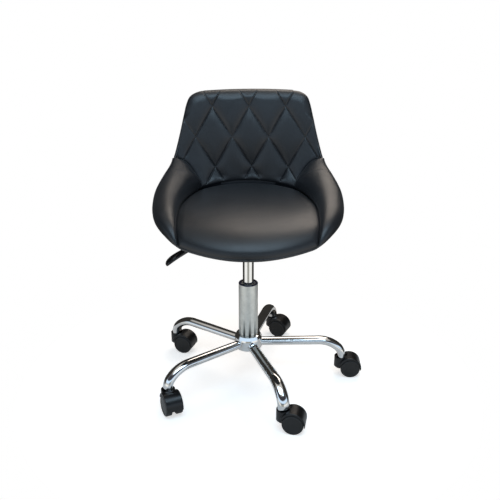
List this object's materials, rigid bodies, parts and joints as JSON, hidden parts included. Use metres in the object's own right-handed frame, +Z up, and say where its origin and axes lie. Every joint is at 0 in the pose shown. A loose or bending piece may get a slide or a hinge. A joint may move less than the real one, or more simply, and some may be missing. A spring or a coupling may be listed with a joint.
{
  "type": "rolling stool",
  "caption": "Rolling salon stool with a low quilted back and rounded bucket seat on a gas lift, a chrome bent-tube star base and twin-wheel hooded casters.",
  "frame": {"origin": "on the floor, on the axis of the column", "axes": "+Z up, the seat faces -Y, +X to the right when the stool is seen from the front"},
  "size_m": [0.5341, 0.5263, 0.729],
  "materials": {
    "bright_chrome": "mirror bright plated",
    "satin_tube": "pale satin",
    "guide_plastic": "moulded dark navy",
    "liner_plastic": "smooth pale acetal",
    "hood_plastic": "fine moulded texture",
    "wheel_nylon": "smooth nylon",
    "plain_steel": "zinc plated",
    "socket_plastic": "moulded",
    "bumper_rubber": "moulded",
    "black_plate": "semi-gloss black",
    "grip_plastic": "glossy moulded",
    "shell_plywood": "bare",
    "black_leather": "smooth coated, fine grain"
  },
  "bodies": {
    "base": {"base_hub": "bright_chrome", "base_leg_1": "bright_chrome", "base_leg_2": "bright_chrome", "base_leg_3": "bright_chrome", "base_leg_4": "bright_chrome", "base_leg_5": "bright_chrome", "leg_end_sockets": "socket_plastic", "caster_stems": "plain_steel", "stem_grip_rings": "plain_steel", "outer_tube": "satin_tube", "guide_bush": "guide_plastic", "guide_liner": "liner_plastic", "bearing_lower_race": "plain_steel"},
    "rod": {"piston_rod": "plain_steel", "piston": "socket_plastic", "piston_seal": "bumper_rubber", "bearing_upper_race": "plain_steel", "bearing_balls": "plain_steel", "bearing_cage": "socket_plastic", "rod_bumper": "bumper_rubber", "rod_washer": "plain_steel", "retaining_clip": "plain_steel"},
    "seat": {"gas_cylinder": "bright_chrome", "taper_socket": "black_plate", "seat_plate": "black_plate", "lever_bracket": "black_plate", "lever_pivot_pin": "plain_steel", "plate_bolts": "plain_steel", "bolt_washers": "plain_steel", "shell_nuts": "plain_steel", "seat_shell": "shell_plywood", "outer_cover": "black_leather", "seat_cushion": "black_leather", "back_cushion": "black_leather", "bolster_left": "black_leather", "bolster_right": "black_leather"},
    "lever": {"lever_rod": "plain_steel", "lever_grip": "grip_plastic"},
    "button": {"release_button": "plain_steel"},
    "caster_1": {"caster_hood_1": "hood_plastic", "caster_axle_1": "plain_steel"},
    "wheel_left_1": {"caster_wheel_left_1": "wheel_nylon"},
    "wheel_right_1": {"caster_wheel_right_1": "wheel_nylon"},
    "caster_2": {"caster_hood_2": "hood_plastic", "caster_axle_2": "plain_steel"},
    "wheel_left_2": {"caster_wheel_left_2": "wheel_nylon"},
    "wheel_right_2": {"caster_wheel_right_2": "wheel_nylon"},
    "caster_3": {"caster_hood_3": "hood_plastic", "caster_axle_3": "plain_steel"},
    "wheel_left_3": {"caster_wheel_left_3": "wheel_nylon"},
    "wheel_right_3": {"caster_wheel_right_3": "wheel_nylon"},
    "caster_4": {"caster_hood_4": "hood_plastic", "caster_axle_4": "plain_steel"},
    "wheel_left_4": {"caster_wheel_left_4": "wheel_nylon"},
    "wheel_right_4": {"caster_wheel_right_4": "wheel_nylon"},
    "caster_5": {"caster_hood_5": "hood_plastic", "caster_axle_5": "plain_steel"},
    "wheel_left_5": {"caster_wheel_left_5": "wheel_nylon"},
    "wheel_right_5": {"caster_wheel_right_5": "wheel_nylon"}
  },
  "joints": [
    {"name": "seat_swivel", "type": "hinge", "parent": "base", "child": "rod", "pos_m": [0, 0, 0.185], "axis": [0, 0, 1], "continuous": true},
    {"name": "gas_lift", "type": "slide", "parent": "rod", "child": "seat", "axis": [0, 0, 1], "range_m": [-0.055, 0.065]},
    {"name": "lever_lift", "type": "hinge", "parent": "seat", "child": "lever", "pos_m": [-0.055, 0, 0.394], "axis": [0, 1, 0], "range_deg": [0, 5], "stiffness_Nm_per_rad": 6, "springref_deg": -3.44},
    {"name": "button_press", "type": "slide", "parent": "seat", "child": "button", "axis": [0, 0, -1], "range_m": [0, 0.0053], "stiffness_N_per_m": 600},
    {"name": "caster_swivel_1", "type": "hinge", "parent": "base", "child": "caster_1", "pos_m": [-0.19754, -0.15158, 0.04], "axis": [0, 0, 1], "continuous": true},
    {"name": "wheel_left_roll_1", "type": "hinge", "parent": "caster_1", "child": "wheel_left_1", "pos_m": [-0.18719, -0.17379, 0.026], "axis": [0.9063, 0.4226, 0], "continuous": true},
    {"name": "wheel_right_roll_1", "type": "hinge", "parent": "caster_1", "child": "wheel_right_1", "pos_m": [-0.18719, -0.17379, 0.026], "axis": [0.9063, 0.4226, 0], "continuous": true},
    {"name": "caster_swivel_2", "type": "hinge", "parent": "base", "child": "caster_2", "pos_m": [0.08312, -0.23472, 0.04], "axis": [0, 0, 1], "continuous": true},
    {"name": "wheel_left_roll_2", "type": "hinge", "parent": "caster_2", "child": "wheel_left_2", "pos_m": [0.10708, -0.23981, 0.026], "axis": [0.2079, 0.9781, 0], "continuous": true},
    {"name": "wheel_right_roll_2", "type": "hinge", "parent": "caster_2", "child": "wheel_right_2", "pos_m": [0.10708, -0.23981, 0.026], "axis": [0.2079, 0.9781, 0], "continuous": true},
    {"name": "caster_swivel_3", "type": "hinge", "parent": "base", "child": "caster_3", "pos_m": [0.24891, 0.00652, 0.04], "axis": [0, 0, 1], "continuous": true},
    {"name": "wheel_left_roll_3", "type": "hinge", "parent": "caster_3", "child": "wheel_left_3", "pos_m": [0.2734, 0.00566, 0.026], "axis": [0.0349, 0.9994, 0], "continuous": true},
    {"name": "wheel_right_roll_3", "type": "hinge", "parent": "caster_3", "child": "wheel_right_3", "pos_m": [0.2734, 0.00566, 0.026], "axis": [0.0349, 0.9994, 0], "continuous": true},
    {"name": "caster_swivel_4", "type": "hinge", "parent": "base", "child": "caster_4", "pos_m": [0.07072, 0.23875, 0.04], "axis": [0, 0, 1], "continuous": true},
    {"name": "wheel_left_roll_4", "type": "hinge", "parent": "caster_4", "child": "wheel_left_4", "pos_m": [0.09292, 0.22839, 0.026], "axis": [0.4226, 0.9063, 0], "continuous": true},
    {"name": "wheel_right_roll_4", "type": "hinge", "parent": "caster_4", "child": "wheel_right_4", "pos_m": [0.09292, 0.22839, 0.026], "axis": [0.4226, 0.9063, 0], "continuous": true},
    {"name": "caster_swivel_5", "type": "hinge", "parent": "base", "child": "caster_5", "pos_m": [-0.20521, 0.14103, 0.04], "axis": [0, 0, 1], "continuous": true},
    {"name": "wheel_left_roll_5", "type": "hinge", "parent": "caster_5", "child": "wheel_left_5", "pos_m": [-0.18219, 0.13266, 0.026], "axis": [0.342, 0.9397, 0], "continuous": true},
    {"name": "wheel_right_roll_5", "type": "hinge", "parent": "caster_5", "child": "wheel_right_5", "pos_m": [-0.18219, 0.13266, 0.026], "axis": [0.342, 0.9397, 0], "continuous": true}
  ],
  "couplings": [
    {"joint": "button_press", "follows": "lever_lift", "m_per_rad": 0.06}
  ]
}
